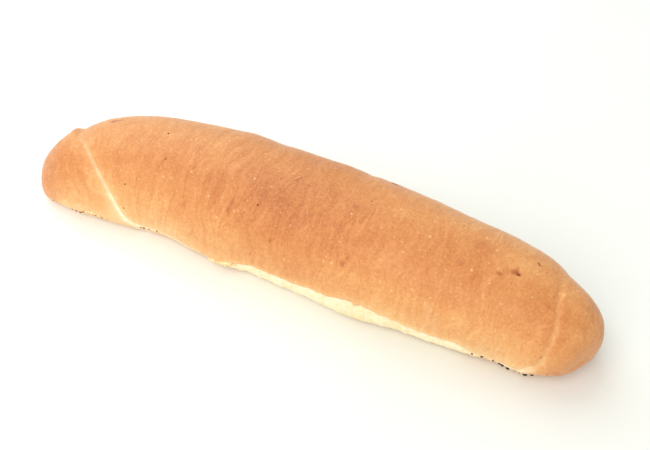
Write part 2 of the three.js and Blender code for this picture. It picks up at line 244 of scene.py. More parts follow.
def endValue(u, name):
    return np.where(u < 0, leftEnd[name], rightEnd[name])


def swell(u):
    return np.maximum(0, 1 - np.abs(u) ** endValue(u, "power")) ** endValue(u, "share")


def spineY(u):
    curlFrom = endValue(u, "curlFrom")
    reach = np.maximum(0, (np.abs(u) - curlFrom) / (1 - curlFrom))
    return rollForm["middleBow"] * (1 - u * u) - endValue(u, "curl") * reach ** endValue(u, "curlPower")


def sectionPoint(u, angle):  # side and height of a section's outline: 90 top, 180 front, 270 base
    turn = np.radians(angle)
    rounding = smoothStep(np.abs(u), rollForm["roundFrom"], 1)
    lowerPower = rollForm["basePower"] + (rollForm["endBasePower"] - rollForm["basePower"]) * rounding
    power = 2 / np.where(np.sin(turn) > 0, rollForm["topPower"], lowerPower)
    rise = signedPower(np.sin(turn), power)
    widest = rollForm["widestShare"]
    depth = rollForm["baseDepth"] + (1 - rollForm["baseDepth"]) * rounding
    reach = np.where(rise > 0, 1 - widest, widest * depth)
    return signedPower(np.cos(turn), power), np.maximum(0, widest + reach * rise)


# Lengths round the middle section, so that v runs evenly
tableAngle = 270 - np.linspace(0, 360, rollForm["sectionPoints"])
tableSide, tableHeight = sectionPoint(np.zeros_like(tableAngle), tableAngle)
tableStep = np.hypot(np.diff(tableSide) * rollForm["width"] / 2, np.diff(tableHeight) * rollForm["height"])
tableLength = np.concatenate([[0], np.cumsum(tableStep)])
girth = tableLength[-1]


def bodyPoint(u, v):  # the bare form, before any relief
    angle = np.interp((v % 1) * girth, tableLength, tableAngle)
    side, height = sectionPoint(u, angle)
    size, step = swell(u), 1e-4
    tall = size ** rollForm["heightPower"]
    slope = (spineY(u + step) - spineY(u - step)) / (2 * step * halfSpine)
    reach = side * size * rollForm["width"] / 2 / np.hypot(1, slope)
    lift = endValue(u, "lift") * (1 - tall) ** endValue(u, "liftPower")
    return np.stack([halfSpine * u - slope * reach, spineY(u) + reach,
                     height * tall * rollForm["height"] + lift], -1)


def bodyNormal(u, v):
    step, limit, leastLength = 1e-3, 0.9999, 1e-9
    along = bodyPoint(np.minimum(u + step, limit), v) - bodyPoint(np.maximum(u - step, -limit), v)
    around = bodyPoint(u, v + step) - bodyPoint(u, v - step)
    normal = np.cross(along, around)
    return normal / np.maximum(np.linalg.norm(normal, axis=-1, keepdims=True), leastLength)


def lipLine(u):  # the crust's lower lip, with its tab and ragged edge
    tab = tear["tab"]
    tooth = np.exp(-((u - tab["u"]) * halfSpine / tab["width"]) ** 4)
    lift = sum(rise * bell((u - at) * halfSpine, width) for at, width, rise in tear["lifts"])
    detail = ramp(tear["gape"], u) * waveSum(tear["ragged"], u) - tab["drop"] * tooth + lift
    return smoothRun(tear["knots"], u) + detail / girth


def gridPlace(a, b):  # grid lines follow the seams: a along the roll, b round it
    u = a
    for seam in seams:
        u = u + pull(a, seam) * (smoothRun(seam["knots"], b, True) - seam["rest"])
    v = b + pull(b, tear) * (lipLine(u) - tear["rest"])
    above = (b - tear["rest"]) * girth
    tuck = ramp(tear["gape"], u) * namedBell(tear, "undercut", above)
    return u, v + tuck * (above < -tear["edge"]) / girth


def bellSum(u, v, rows):
    return sum(rise * bell((u - atU) * halfSpine, along) * bell((v - atV) * girth, around)
               for atU, atV, along, around, rise in rows)


def seamRelief(a, b):  # grooves over both ends, and the lobe where the wrap starts
    relief = 0
    for seam in seams:
        groove = bell((a - seam["rest"]) * halfSpine, seam["halfWidth"])
        relief = relief - seam["depth"] * ramp(seam["hold"], b) * groove
    distance = (a - leftSeam["rest"]) * halfSpine
    rise = namedBell(lobe, "rise", distance) - namedBell(lobe, "dip", distance)
    return relief + rise * bell(b - lobe["v"], lobe["spread"])


def tearRelief(u, b):  # below the lip the pale side stands back, and comes out again at its foot
    gape = ramp(tear["gape"], u)
    above = (b - tear["rest"]) * girth
    lip = gape * namedBell(tear, "swell", above)
    down = np.clip((tear["rest"] - b) / (tear["rest"] - tear["foot"]), 0, 1)
    foot = gape * waveSum(tear["footRagged"], u) * bell((b - tear["footAt"]) * girth, tear["footWidth"])
    return np.where(above > tear["swellTo"], lip, foot - tear["depth"] * gape * (1 - down))


def baseHeight(u, v):
    around = np.where(v > 0.5, v - 1, v)
    height = rollBase["clear"]
    for bumpU, bumpV in rollBase["bumps"]:
        distance = np.hypot((u - bumpU) * halfSpine, (around - bumpV) * girth)
        height = height - rollBase["clear"] * bell(distance, rollBase["bumpWidth"])
    return height


def crustPoint(a, b, rows):
    u, v = gridPlace(a, b)
    point = bodyPoint(u, v)
    relief = seamRelief(a, b) + tearRelief(u, b) + bellSum(u, v, rows)
    share = smoothStep(point[..., 2], 0, rollForm["reliefFrom"])
    point = point + bodyNormal(u, v) * (relief * share)[..., None]
    point[..., 2] = np.maximum(baseHeight(u, v), point[..., 2])
    return point


def evenStations(count):  # even steps along the plan outline, so the round ends get more
    u = np.sin(np.pi * (np.linspace(0, 1, rollForm["outlinePoints"]) - 0.5))
    outline = np.stack([halfSpine * u, swell(u) * rollForm["width"] / 2], 1)
    length = np.concatenate([[0], np.cumsum(np.linalg.norm(np.diff(outline, axis=0), axis=1))])
    return np.interp(np.arange(1, count) / count * length[-1], length, u)


def roundLines():  # close together over the crust, closer at the lip, wide apart on the base
    start = rollForm["crustFrom"]
    crust = np.linspace(start, 1 - start, rollForm["crustLines"], endpoint=False)
    base = np.linspace(1 - start, 1 + start, rollForm["baseLines"], endpoint=False) % 1
    lip = tear["rest"] + np.array(tear["lipLines"]) / girth
    margin = rollForm["lipMargin"] / girth
    crust = crust[(crust < lip[0] - margin) | (crust > lip[-1] + margin)]
    return np.sort(np.concatenate([crust, base, lip]))


def lineDistance(u, v, knots):  # millimetres over the crust to a run of straight stretches
    nearest = np.full(u.shape, np.inf)
    for (u0, v0), (u1, v1) in zip(knots, knots[1:]):
        along, around = (u - u0) * halfSpine, (v - v0) * girth * swell(u)
        runAlong, runAround = (u1 - u0) * halfSpine, (v1 - v0) * girth * swell((u0 + u1) / 2)
        share = np.clip((along * runAlong + around * runAround) / (runAlong ** 2 + runAround ** 2), 0, 1)
        nearest = np.minimum(nearest, np.hypot(along - share * runAlong, around - share * runAround))
    return nearest


def seamLean(seam, u, b):  # how far a seam runs along the roll for each step round it
    step, leastSwell = 1e-3, 0.1
    run = smoothRun(seam["knots"], b + step, True) - smoothRun(seam["knots"], b - step, True)
    return run * halfSpine / (2 * step * girth * np.maximum(swell(u), leastSwell))


def looksOf(a, b, u, v, z):  # what the materials read at each point
    bake = ramp(crustBake["round"], v) + ramp(crustBake["along"], u)
    tip = np.where(u < 0, crustBake["leftTip"], crustBake["rightTip"])
    bake = bake + (tip - bake) * smoothStep(np.abs(u), *crustBake["tipFade"])
    pale = 0
    for seam in seams:
        distance = (a - seam["rest"]) * halfSpine / np.hypot(1, seamLean(seam, u, b))
        uneven = 1 + waveSum(seam["uneven"], b)
        light = ramp(seam["light"], b) * uneven
        pale = np.maximum(pale, ramp(seam["pale"], b) * uneven * bell(distance, ramp(seam["paleWidth"], b)))
        bake = bake - light * (bell(distance, seam["lightWidth"]) - namedBell(seam, "shade", distance))
    for knots, width, strength in paleLines:
        pale = np.maximum(pale, strength * bell(lineDistance(u, v, knots), width))
    gape, below, edge = ramp(tear["gape"], u), (tear["rest"] - b) * girth, crustBake["lipEdgeWidth"]
    bake = bake - crustBake["lipLight"] * gape * bell(below, crustBake["lipWidth"])
    # painted shade: a thin darker line just above the crust's lower lip
    bake = bake + crustBake["lipShadeLine"] * gape * bell(below + edge, edge)
    reach = ramp(tear["reach"], u)
    inside = 1 - smoothStep(below, tear["fadeFrom"] * reach, reach + tear["leastFade"])
    isBelow = (below > tear["edge"]) & (b > tear["lowest"])
    torn = np.where(isBelow, inside * smoothStep(reach, *tear["reachFade"]), 0)
    scorch, blisters = bellSum(u, v, scorchMarks), bellSum(u, v, blisterPatches)
    bake = bake - crustBake["blisterLight"] * blisters
    # bake holds the browning and also the painted shade line at the lip
    return {"bake": bake, "pale": np.clip(pale, 0, 1), "torn": torn, "scorch": np.clip(scorch, 0, 1),
            "under": 1 - smoothStep(z, *crustBake["baseFade"]),
            "hold": smoothStep(z, *crustBake["reliefFade"]),
            "toast": ramp(tear["toast"], u), "blisters": np.clip(blisters, 0, 1)}


def gridFaces(rings, count):  # corners of every face, and how many turns past the first line each one lies
    j = np.arange(count)
    zero, after, turn = np.zeros_like(j), (j + 1) % count, (j + 1) // count
    ring = (np.arange(rings - 1) * count)[:, None]
    quads = np.stack([ring + j, ring + count + j, ring + count + after, ring + after], -1).reshape(-1, 4)
    quadTurn = np.tile(np.stack([zero, zero, turn, turn], -1), (rings - 1, 1))
    lastRing, firstTip = (rings - 1) * count, rings * count
    caps = np.concatenate([np.stack([zero + firstTip, j, after], -1),
                           np.stack([zero + firstTip + 1, lastRing + after, lastRing + j], -1)])
    capTurn = np.concatenate([np.stack([turn, zero, turn], -1), np.stack([turn, turn, zero], -1)])
    return quads, caps, np.concatenate([quadTurn.ravel(), capTurn.ravel()])


def setAttribute(mesh, name, values):  # a number or a vector for each point
    kind, slot = ("FLOAT", "value") if values.ndim == 1 else ("FLOAT_VECTOR", "vector")
    layer = mesh.attributes.new(name, kind, "POINT")
    layer.data.foreach_set(slot, values.astype(np.float32).ravel())


def buildRollMesh():
    stations, lines = evenStations(rollForm["stations"]), roundLines()
    a, b = np.meshgrid(stations, lines, indexing="ij")
    u, v = gridPlace(a, b)
    points = crustPoint(a, b, waves + lowWaves)
    looks = looksOf(a, b, u, v, points[..., 2])
    tips = bodyPoint(np.array([-1.0, 1.0]), np.array([0.0, 0.0]))
    points = np.concatenate([points.reshape(-1, 3), tips])
    # the middle is that of the form without its low waves, so that they leave the roll in its place
    plain = crustPoint(a, b, waves).reshape(-1, 3)
    middle = (plain.min(0) + plain.max(0)) / 2
    shift = np.array([middle[0], middle[1], points[:, 2].min()])
    quads, caps, turns = gridFaces(*a.shape)
    mesh = bpy.data.meshes.new("roll")
    mesh.from_pydata(((points - shift) * mm).tolist(), [], quads.tolist() + caps.tolist())
    # a flat map for patterns that run along or round the roll, without a seam
    chart = np.concatenate([np.stack([u.ravel() * halfSpine, v.ravel() * girth], 1),
                            [(-halfSpine, 0), (halfSpine, 0)]])
    corners = np.concatenate([quads.ravel(), caps.ravel()])
    flat, isTip = chart[corners], corners >= a.size
    flat[isTip, 1] = np.tile(lines, 2) * girth
    flat[:, 1] += np.where(isTip, 0, turns * girth)
    mapLayer = mesh.uv_layers.new(name="crustMap")
    mapLayer.data.foreach_set("uv", (flat / rollForm["mapUnit"]).astype(np.float32).ravel())
    for name, value in looks.items():
        setAttribute(mesh, name, np.append(value, value.flat[[0, -1]]))
    setAttribute(mesh, "chart", np.pad(chart, ((0, 0), (0, 1))))
    return mesh, shift


# Node helpers. A value that is a socket is linked, and any other is set.
def setSockets(sockets, values):
    for name, value in values.items():
        if isinstance(value, bpy.types.NodeSocket):
            value.id_data.links.new(value, sockets[name])
        else:
            sockets[name].default_value = value


def addNode(tree, kind, values=None, **settings):
    made = tree.nodes.new(kind)
    for name, value in settings.items():
        setattr(made, name, value)
    setSockets(made.inputs, values or {})
    return made


def feed(kind, values, **settings):  # a node in the tree of the sockets that feed it, as its outputs
    tree = next(value.id_data for value in values.values() if isinstance(value, bpy.types.NodeSocket))
    return addNode(tree, kind, values, **settings).outputs


def calculate(operation, first, second=0.0, third=0.0):
    return feed("ShaderNodeMath", {0: first, 1: second, 2: third}, operation=operation)[0]


def product(first, *others):
    for other in others:
        first = calculate("MULTIPLY", first, other)
    return first


def addShares(total, *rows):  # a value, and each row's value times its share
    for value, share in rows:
        total = calculate("MULTIPLY_ADD", value, share, total)
    return total


def centred(value):
    return calculate("SUBTRACT", value, 0.5)


def inverse(value):
    return calculate("DIVIDE", 1.0, value)


def combine(**parts):
    return feed("ShaderNodeCombineXYZ", parts)[0]


def stretch(vector, factors):
    return feed("ShaderNodeVectorMath", {0: vector, 1: factors}, operation="MULTIPLY")[0]


def scaled(vector, factor):
    return feed("ShaderNodeVectorMath", {0: vector, "Scale": factor}, operation="SCALE")[0]


def noise(vector, scale, detail, roughness=0.5, distortion=0.0):
    return feed("ShaderNodeTexNoise", {"Vector": vector, "Scale": scale, "Detail": detail,
                                       "Roughness": roughness, "Distortion": distortion})[0]


def rangeOf(value, fromLow, fromHigh, toLow=0.0, toHigh=1.0):
    return feed("ShaderNodeMapRange", {0: value, 1: fromLow, 2: fromHigh, 3: toLow, 4: toHigh})[0]


def paint(colour):  # screen values 0 to 255 as scene-linear colour
    def linear(value):
        share = value / 255
        return share / 12.92 if share <= 0.04045 else ((share + 0.055) / 1.055) ** 2.4
    return [linear(value) for value in colour] + [1.0]


def mixColour(share, *colours):  # each is a socket, or a tuple of screen values
    first, second = (paint(colour) if isinstance(colour, tuple) else colour for colour in colours)
    return feed("ShaderNodeMix", {0: share, 6: first, 7: second}, data_type="RGBA")[2]


def newGroup(name, inputs, outputs, kind="ShaderNodeTree"):  # an input is a number or a kind of socket
    tree = bpy.data.node_groups.new(name, kind)
    for label, value in inputs.items():
        socketKind = {float: "Float", int: "Int"}.get(type(value), value)
        socket = tree.interface.new_socket(label, in_out="INPUT", socket_type="NodeSocket" + socketKind)
        if socketKind != value:
            socket.default_value = value
    for label, socketKind in outputs.items():
        tree.interface.new_socket(label, in_out="OUTPUT", socket_type="NodeSocket" + socketKind)
    return tree, tree.nodes.new("NodeGroupInput").outputs, tree.nodes.new("NodeGroupOutput").inputs


def useGroup(group, values):
    return feed("ShaderNodeGroup", values, node_tree=group)


# Shader groups that the finishes are made of
def buildMottle():
    tree, inputs, outputs = newGroup("bakeMottle", {
        "Vector": "Vector", "Patch Scale": 45.0, "Freckle Scale": 260.0}, {"Shift": "Float"})
    freckleShare = 0.7
    patch = noise(inputs["Vector"], inputs["Patch Scale"], detail=3.0, roughness=0.55)
    freckle = noise(inputs["Vector"], inputs["Freckle Scale"], detail=3.0, roughness=0.6)
    both = addShares(patch, (freckle, freckleShare))
    setSockets(outputs, {"Shift": calculate("SUBTRACT", both, (1 + freckleShare) / 2)})
    return tree


def stretchedMap(inputs):  # the flat map bent along the roll by slow waves, then drawn out round it
    slow = noise(inputs["Map"], scale=4.5, detail=1.0)
    shift = combine(X=product(centred(slow), inputs["Bend"]))
    bent = feed("ShaderNodeVectorMath", {0: inputs["Map"], 1: shift}, operation="ADD")[0]
    return stretch(bent, combine(X=inputs["Across"], Y=inputs["Lengthwise"]))


def buildStreaks():
    tree, inputs, outputs = newGroup("stretchStreaks", {
        "Map": "Vector", "Across": 40.0, "Lengthwise": 4.0, "Bend": 0.16}, {"Streak": "Float"})
    contrast = (0.25, 0.75)
    pattern = noise(stretchedMap(inputs), scale=1.0, detail=3.0, roughness=0.6, distortion=0.9)
    setSockets(outputs, {"Streak": rangeOf(pattern, *contrast)})
    return tree


def buildWrinkles():
    tree, inputs, outputs = newGroup("skinWrinkles", {
        "Map": "Vector", "Across": 17.0, "Lengthwise": 3.0, "Bend": 0.2}, {"Mask": "Float"})
    lineWidth, patchRange = 0.085, (0.4, 0.65)
    pattern = noise(stretchedMap(inputs), scale=1.0, detail=2.0, distortion=0.8)
    line = rangeOf(calculate("ABSOLUTE", centred(pattern)), lineWidth, 0.0)
    strength = rangeOf(noise(inputs["Map"], scale=4.0, detail=1.0), *patchRange)
    setSockets(outputs, {"Mask": product(line, strength)})
    return tree


def buildPits():
    tree, inputs, outputs = newGroup("finePits", {
        "Vector": "Vector", "Pore Scale": 700.0, "Grain Scale": 2200.0}, {"Height": "Float"})
    poreWidth, grainHeight = 0.45, 0.6
    pores = feed("ShaderNodeTexVoronoi", {"Vector": inputs["Vector"], "Scale": inputs["Pore Scale"]})
    depth = rangeOf(pores["Distance"], 0.0, poreWidth)
    grain = noise(inputs["Vector"], inputs["Grain Scale"], detail=2.0)
    setSockets(outputs, {"Height": addShares(depth, (grain, grainHeight))})
    return tree


doughLook = {"shade": (247, 226, 178), "light": (253, 245, 219), "range": (0.4, 0.8),
             "strandLengthwise": 9.0, "strands": 0.5, "lumpScale": 420.0, "lumps": 0.7}


def buildDough():
    tree, inputs, outputs = newGroup("paleDough", {
        "Vector": "Vector", "Map": "Vector", "Strand Scale": 55.0}, {"Color": "Color", "Height": "Float"})
    drawn = stretch(inputs["Map"], combine(X=inputs["Strand Scale"], Y=doughLook["strandLengthwise"]))
    strands = noise(drawn, scale=1.0, detail=4.0, distortion=0.6)
    lumps = noise(inputs["Vector"], doughLook["lumpScale"], detail=3.0)
    height = addShares(0.0, (strands, doughLook["strands"]), (lumps, doughLook["lumps"]))
    colour = mixColour(rangeOf(height, *doughLook["range"]), doughLook["shade"], doughLook["light"])
    setSockets(outputs, {"Color": colour, "Height": height})
    return tree


fleckLook = {"wander": 0.0011, "wanderScale": 1400.0, "least": 0.08, "most": 0.26, "core": 0.5,
             "faintest": 0.2}


def buildFlecks():  # dots of uneven outline, each of its own size and strength
    tree, inputs, outputs = newGroup("lightFlecks", {
        "Vector": "Vector", "Scale": 300.0, "Share": 0.3}, {"Mask": "Float"})
    look, vector = fleckLook, inputs["Vector"]
    push = feed("ShaderNodeTexNoise", {"Vector": vector, "Scale": look["wanderScale"], "Detail": 1.0})
    moved = feed("ShaderNodeVectorMath", {0: push["Color"], 1: [look["wander"]] * 3, 2: vector},
                 operation="MULTIPLY_ADD")[0]
    cells = feed("ShaderNodeTexVoronoi", {"Vector": moved, "Scale": inputs["Scale"]})
    draw = feed("ShaderNodeSeparateColor", {"Color": cells["Color"]})
    chosen = calculate("LESS_THAN", draw[0], inputs["Share"])
    size = rangeOf(draw[1], 0.0, 1.0, look["least"], look["most"])
    dot = rangeOf(calculate("DIVIDE", cells["Distance"], size), 1.0, look["core"])
    strength = rangeOf(draw[2], 0.0, 1.0, look["faintest"], 1.0)
    setSockets(outputs, {"Mask": product(dot, strength, chosen)})
    return tree


bakeMottle, stretchStreaks, skinWrinkles = buildMottle(), buildStreaks(), buildWrinkles()
finePits, paleDough, lightFlecks = buildPits(), buildDough(), buildFlecks()


# Finishes. Here shader stands for the sockets of a material's shader.
def newMaterial(name, specular):
    material = bpy.data.materials.new(name)
    material.use_nodes = True
    shader = material.node_tree.nodes["Principled BSDF"].inputs
    shader["Specular IOR Level"].default_value = specular
    return material, material.node_tree, shader


def objectPlace(tree):
    return addNode(tree, "ShaderNodeTexCoord").outputs["Object"]


def attribute(tree, name):
    return addNode(tree, "ShaderNodeAttribute", attribute_name=name).outputs["Fac"]


def crustMap(tree):
    return addNode(tree, "ShaderNodeUVMap", uv_map="crustMap").outputs[0]


def bumpNormal(height, look):
    return feed("ShaderNodeBump", {"Height": height, "Strength": look["bump"],
                                   "Distance": look["bumpDepth"] * mm})[0]


# Crust: pale gold at the sides to brown on top, streaked round the roll
crustFinish = {
    "colours": [(0.0, (236, 195, 138)), (0.3, (230, 171, 107)), (0.6, (218, 148, 86)),
                (0.9, (203, 127, 66)), (1.25, (173, 96, 47))],
    "mottle": 0.24, "mottleScales": {"Patch Scale": 85.0, "Freckle Scale": 330.0},
    "streak": 0.2, "streakScales": {"Across": 34.0, "Lengthwise": 4.5},
    "fineStreak": 0.12, "fineScales": {"Across": 72.0, "Lengthwise": 15.0},
    "wrinkle": 0.19, "wrinkleScales": {"Across": 17.0, "Lengthwise": 3.2},
    "grain": 0.66, "grainScale": 900.0,
    "fleck": (246, 205, 152), "fleckShare": 0.62, "largeFlecks": {"Scale": 330.0, "Share": 0.58},
    "smallFleckScale": 620.0, "smallFlecks": 0.56, "blisterFlecks": 0.4,
    "smear": (172, 84, 36), "scorch": (130, 50, 14), "scorchEdge": 0.5,
    "spotRange": (0.08, 0.85), "spotFade": (0.0, 0.2), "burnRange": (0.4, 0.95),
    "base": (222, 168, 112), "baseSpot": (186, 124, 74), "baseRange": (-0.2, 0.25),
    "specular": 0.45, "roughness": (0.5, 0.64), "sheen": 0.17, "sheenRoughness": 0.45,
    "pitScales": {"Pore Scale": 620.0, "Grain Scale": 1500.0}, "pitRise": 0.45,
    "streakRise": 0.5, "wrinkleRise": 0.8, "fleckRise": 0.5, "bump": 0.35, "bumpDepth": 0.25,
}


def browning(tree, bake):  # from the crust's bake to its colour
    colours = crustFinish["colours"]
    span = colours[-1][0]
    made = addNode(tree, "ShaderNodeValToRGB", {"Fac": calculate("DIVIDE", bake, span)})
    stops = made.color_ramp.elements
    for index, (at, colour) in enumerate(colours):
        stop = stops[index] if index < 2 else stops.new(1.0)
        stop.position = at / span
        stop.color = paint(colour)
    return made.outputs[0]


def makeCrust():
    look = crustFinish
    material, tree, shader = newMaterial("bakedCrust", look["specular"])
    place, flat = objectPlace(tree), crustMap(tree)
    mottle = useGroup(bakeMottle, {"Vector": place, **look["mottleScales"]})[0]
    streak = useGroup(stretchStreaks, {"Map": flat, **look["streakScales"]})[0]
    fine = useGroup(stretchStreaks, {"Map": flat, **look["fineScales"]})[0]
    wrinkle = useGroup(skinWrinkles, {"Map": flat, **look["wrinkleScales"]})[0]
    grain = noise(place, look["grainScale"], detail=2.0, roughness=0.65)
    bake = addShares(attribute(tree, "bake"), (mottle, look["mottle"]), (centred(streak), look["streak"]),
                     (centred(fine), look["fineStreak"]), (wrinkle, -look["wrinkle"]),
                     (centred(grain), look["grain"]))
    colour = browning(tree, bake)
    # small blisters that stayed light, with more small ones where the skin blistered
    smallShare = addShares(look["smallFlecks"], (attribute(tree, "blisters"), look["blisterFlecks"]))
    large = useGroup(lightFlecks, {"Vector": place, **look["largeFlecks"]})[0]
    small = useGroup(lightFlecks, {"Vector": place, "Scale": look["smallFleckScale"], "Share": smallShare})[0]
    fleck = calculate("MAXIMUM", large, small)
    colour = mixColour(product(fleck, look["fleckShare"]), colour, look["fleck"])
    # scorched spots with uneven edges
    mark = attribute(tree, "scorch")
    edge = addShares(mark, (mottle, look["scorchEdge"]))
    spot = product(rangeOf(edge, *look["spotRange"]), rangeOf(mark, *look["spotFade"]))
    burn = mixColour(rangeOf(spot, *look["burnRange"]), look["smear"], look["scorch"])
    colour = mixColour(spot, colour, burn)
    # base: duller, with darker patches where it lay on the tray
    underside = mixColour(rangeOf(mottle, *look["baseRange"]), look["base"], look["baseSpot"])
    colour = mixColour(attribute(tree, "under"), colour, underside)
    dough = useGroup(paleDough, {"Vector": place, "Map": flat})["Color"]
    for name in ("pale", "torn"):
        colour = mixColour(attribute(tree, name), colour, dough)
    pits = useGroup(finePits, {"Vector": place, **look["pitScales"]})[0]
    height = addShares(0.0, (streak, look["streakRise"]), (wrinkle, look["wrinkleRise"]),
                       (pits, look["pitRise"]), (fleck, look["fleckRise"]))
    setSockets(shader, {
        "Base Color": colour, "Roughness": rangeOf(streak, 0.0, 1.0, *look["roughness"]),
        "Normal": bumpNormal(height, look), "Sheen Weight": look["sheen"],
        "Sheen Roughness": look["sheenRoughness"]})
    return material


# Torn side: pale dough, darker along its folds (painted shade in the creases, with some toasting) and tanned
# where it meets the base
tornFinish = {
    "strandScale": 70.0, "foldScales": {"Across": 12.0, "Lengthwise": 48.0},
    "foldFrom": 0.45, "foldShadeAndToast": 0.5, "toast": (234, 206, 144), "foot": (238, 204, 150),
    "pitScales": {"Pore Scale": 600.0, "Grain Scale": 2400.0}, "pitRange": (0.0, 1.5),
    "specular": 0.15, "roughness": (0.7, 0.9), "doughRise": 1.2, "bump": 0.5, "bumpDepth": 0.3,
}


def makeTornCrumb():
    look = tornFinish
    material, tree, shader = newMaterial("tornCrumb", look["specular"])
    place, flat = objectPlace(tree), crustMap(tree)
    dough = useGroup(paleDough, {"Vector": place, "Map": flat, "Strand Scale": look["strandScale"]})
    fold = useGroup(stretchStreaks, {"Map": flat, **look["foldScales"]})[0]
    # painted shade in the folds, with some toasting: browner along fold-like streaks
    foldShadeAndToast = rangeOf(fold, look["foldFrom"], 1.0, 0.0, look["foldShadeAndToast"])
    colour = mixColour(calculate("ADD", foldShadeAndToast, attribute(tree, "toast")), dough["Color"], look["toast"])
    colour = mixColour(attribute(tree, "under"), colour, look["foot"])
    pits = useGroup(finePits, {"Vector": place, **look["pitScales"]})[0]
    height = addShares(pits, (dough["Height"], look["doughRise"]))
    setSockets(shader, {
        "Base Color": colour, "Roughness": rangeOf(pits, *look["pitRange"], *look["roughness"]),
        "Normal": bumpNormal(height, look)})
    return material


# Grains, crumbs and specks: two tones and fine pores
bitFinishes = {
    "burntGrain": {"dark": (28, 16, 9), "light": (74, 45, 27), "specular": 0.3, "rough": 0.5},
    "brownGrain": {"dark": (138, 80, 44), "light": (194, 126, 76), "specular": 0.3, "rough": 0.6},
    "paleCrumb": {"dark": (246, 222, 164), "light": (254, 244, 212), "specular": 0.15, "rough": 0.85},
    "doughLump": {"dark": (238, 206, 138), "light": (255, 242, 196), "specular": 0.15, "rough": 0.8},
    "charredSpeck": {"dark": (54, 17, 2), "light": (100, 42, 12), "specular": 0.05, "rough": 0.9},
}
bitDetail = {
    "mottleScales": {"Patch Scale": 500.0, "Freckle Scale": 1800.0}, "toneRange": (-0.2, 0.2),
    "roughRange": (-0.3, 0.3), "roughSpread": 0.1,
    "pitScales": {"Pore Scale": 1500.0, "Grain Scale": 4000.0}, "bump": 0.4, "bumpDepth": 0.1,
}


def makeSpeckled(name, look):
    material, tree, shader = newMaterial(name, look["specular"])
    place, rough, spread = objectPlace(tree), look["rough"], bitDetail["roughSpread"]
    mottle = useGroup(bakeMottle, {"Vector": place, **bitDetail["mottleScales"]})[0]
    pits = useGroup(finePits, {"Vector": place, **bitDetail["pitScales"]})[0]
    setSockets(shader, {
        "Base Color": mixColour(rangeOf(mottle, *bitDetail["toneRange"]), look["dark"], look["light"]),
        "Roughness": rangeOf(mottle, *bitDetail["roughRange"], rough - spread, rough + spread),
        "Normal": bumpNormal(pits, bitDetail)})
    return material


crustMaterial, tornMaterial = makeCrust(), makeTornCrumb()
bitMaterials = {name: makeSpeckled(name, look) for name, look in bitFinishes.items()}
print("materials ready")


# Geometry Nodes helpers
def newModifierTree(name, inputs):  # geometry in, geometry out
    return newGroup(name, {"Geometry": "Geometry", **inputs}, {"Geometry": "Geometry"}, "GeometryNodeTree")


def namedAttribute(tree, name, dataType="FLOAT"):
    made = addNode(tree, "GeometryNodeInputNamedAttribute", {"Name": name}, data_type=dataType)
    return next(socket for socket in made.outputs if socket.enabled and socket.name == "Attribute")


def seededNoise(vector, seed, scale, detail):
    return centred(feed("ShaderNodeTexNoise", {"Vector": vector, "W": seed, "Scale": scale, "Detail": detail},
                        noise_dimensions="4D")[0])


def madeReal(geometry):  # instances become mesh, shaded smooth
    whole = feed("GeometryNodeRealizeInstances", {"Geometry": geometry})[0]
    return feed("GeometryNodeSetShadeSmooth", {"Geometry": whole})[0]


def dress(geometry, material, **chosen):
    return feed("GeometryNodeSetMaterial", {"Geometry": geometry, "Material": material, **chosen})[0]


def scatter(points, shape, rotation, size, material):  # a copy of the shape on every point
    copies = feed("GeometryNodeInstanceOnPoints", {
        "Points": points, "Instance": shape, "Rotation": rotation, "Scale": size})[0]
    return dress(madeReal(copies), material)


def newPiece(name, data):
    piece = bpy.data.objects.new(name, data)
    bpy.context.scene.collection.objects.link(piece)
    return piece


def pieceFromTree(name, start, tree, values):  # run the tree on a mesh and keep its result as a plain mesh
    piece = newPiece(name, start)
    modifier = piece.modifiers.new(tree.name, "NODES")
    modifier.node_group = tree
    for item in tree.interface.items_tree:
        if item.item_type == "SOCKET" and item.in_out == "INPUT" and item.name in values:
            modifier[item.identifier] = values[item.name]
    graph = bpy.context.evaluated_depsgraph_get()
    graph.update()
    mesh = bpy.data.meshes.new_from_object(piece.evaluated_get(graph), preserve_all_data_layers=True,
                                           depsgraph=graph)
    piece.modifiers.remove(modifier)
    piece.data = mesh
    bpy.data.meshes.remove(start)
    mesh.name = name
    return piece


# Roll: the lofted form, with wrinkles, lumps and torn strands raised by a node tree
crustRelief = {
    "Wrinkle Width": 3.4, "Wrinkle Length": 22.0, "Wrinkle Height": 0.3,
    "Lump Size": 13.0, "Lump Height": 0.8, "Blister Size": 4.2, "Blister Height": 0.1,
    "Strand Width": 2.4, "Strand Length": 6.0, "Strand Height": 0.7, "Seed": 7.0,
}


